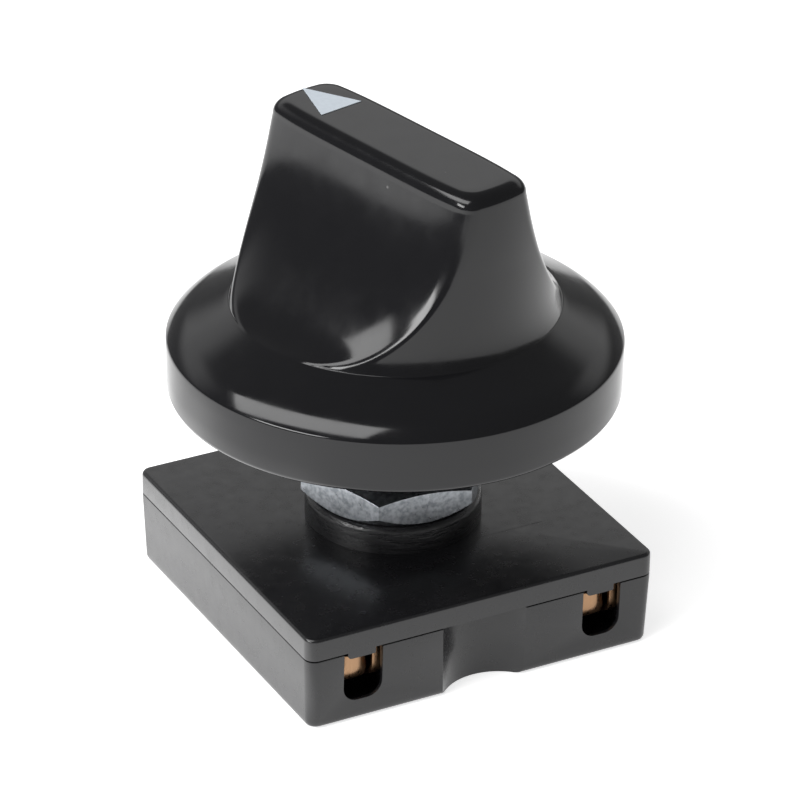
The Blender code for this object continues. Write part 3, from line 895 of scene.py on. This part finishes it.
# %% Floor
def floor_finish():
    """White paper, with a pool of light on it beside the left face."""
    mat, tree, shader, where = new_finish("paper floor", (0.9, 0.9, 0.9), 0.7,
                                          Emission_Strength=0.68)
    grain = use_group(tree, grain_group, {"Vector": where, "Scale": 60.0, "Low": 0.65,
                                          "High": 0.8})
    tree.links.new(grain.outputs["Value"], shader.inputs["Roughness"])
    axes = node(tree, "ShaderNodeSeparateXYZ", {"Vector": where})
    near = times(tree, ramp(tree, axes.outputs["X"], -0.014, -0.022),
                 ramp(tree, axes.outputs["X"], -0.06, -0.03))
    off = node(tree, "ShaderNodeMath", {0: axes.outputs["Y"], 1: 0.006}, operation="SUBTRACT")
    size = node(tree, "ShaderNodeMath", {0: off.outputs[0]}, operation="ABSOLUTE").outputs[0]
    pool = times(tree, near, ramp(tree, size, 0.036, 0.018))
    glow = node(tree, "ShaderNodeMapRange", {"Value": pool, "To Min": 1.0, "To Max": 2.65})
    tree.links.new(glow.outputs["Result"], shader.inputs["Emission Color"])
    return mat


bm = bmesh.new()
bmesh.ops.create_grid(bm, x_segments=2, y_segments=2, size=0.32)
bmesh.ops.translate(bm, verts=bm.verts, vec=(0, 0, -0.00005))
floor_mesh = bpy.data.meshes.new("floor")
bm.to_mesh(floor_mesh)
bm.free()
floor = bpy.data.objects.new("floor", floor_mesh)
bpy.context.scene.collection.objects.link(floor)
floor.data.materials.append(floor_finish())
print("floor", len(floor.data.polygons), "faces")


# %% Backdrop, as a world that depends on direction
def studio_world():
    world = bpy.data.worlds.new("studio")
    bpy.context.scene.world = world
    world.use_nodes = True
    tree = world.node_tree
    direction = tree.nodes.new("ShaderNodeTexCoord").outputs["Generated"]
    rise = node(tree, "ShaderNodeSeparateXYZ", {"Vector": direction}).outputs["Z"]
    behind = node(tree, "ShaderNodeVectorMath", {0: direction, 1: (0.46, 0.888, 0.0)},
                  operation="DOT_PRODUCT").outputs["Value"]
    wide = ramp(tree, behind, 0.15, 0.55)
    patch = times(tree, wide, times(tree, ramp(tree, rise, 0.64, 0.5), ramp(tree, rise, 0.18, 0.38)))
    level = node(tree, "ShaderNodeMapRange", {"Value": patch, "To Min": DARK_ROOM,
                                              "To Max": BACKDROP}).outputs["Result"]
    seen = tree.nodes.new("ShaderNodeLightPath").outputs["Is Camera Ray"]
    shown = node(tree, "ShaderNodeMath", {0: level, 1: seen}, operation="MAXIMUM").outputs[0]
    tree.links.new(shown, tree.nodes["Background"].inputs["Strength"])
    tree.nodes["Background"].inputs["Color"].default_value = (1, 1, 1, 1)
    return world


DARK_ROOM = 0.2
BACKDROP = 0.86
print("world", studio_world().name)


# %% Lights
def softbox(name, place, aim, width, height, power, roll=0.0):
    data = bpy.data.lights.new(name, "AREA")
    data.shape = "RECTANGLE"
    data.size = width
    data.size_y = height
    data.energy = power
    lamp = bpy.data.objects.new(name, data)
    bpy.context.scene.collection.objects.link(lamp)
    way = Vector(aim) - Vector(place)
    turn = way.to_track_quat("-Z", "Y") @ Matrix.Rotation(math.radians(roll), 4, "Z").to_quaternion()
    lamp.location = place
    lamp.rotation_euler = turn.to_euler()
    return lamp


def long_softbox(name, end_a, end_b, aim, width, radiance):
    """A strip from end_a to end_b that faces aim."""
    a, b = Vector(end_a), Vector(end_b)
    centre = (a + b) / 2
    along = (b - a).normalized()
    facing = (centre - Vector(aim)).normalized()
    side = facing.cross(along).normalized()
    facing = along.cross(side).normalized()
    if facing.dot(centre - Vector(aim)) < 0:
        facing, side = -facing, -side
    length = (b - a).length
    lamp = softbox(name, centre, aim, length, width, radiance * math.pi * length * width)
    lamp.rotation_euler = Matrix((along, side, facing)).transposed().to_euler()
    return lamp


long_softbox("strip softbox", (-0.39, 0.26, 0.38), (-0.19, -0.22, 0.52), (0, 0, 0.03), 0.22, 5.5)
softbox("side softbox", (-0.446, -0.079, 0.215), (0, 0, 0.012), 0.3, 0.12, 1.35)
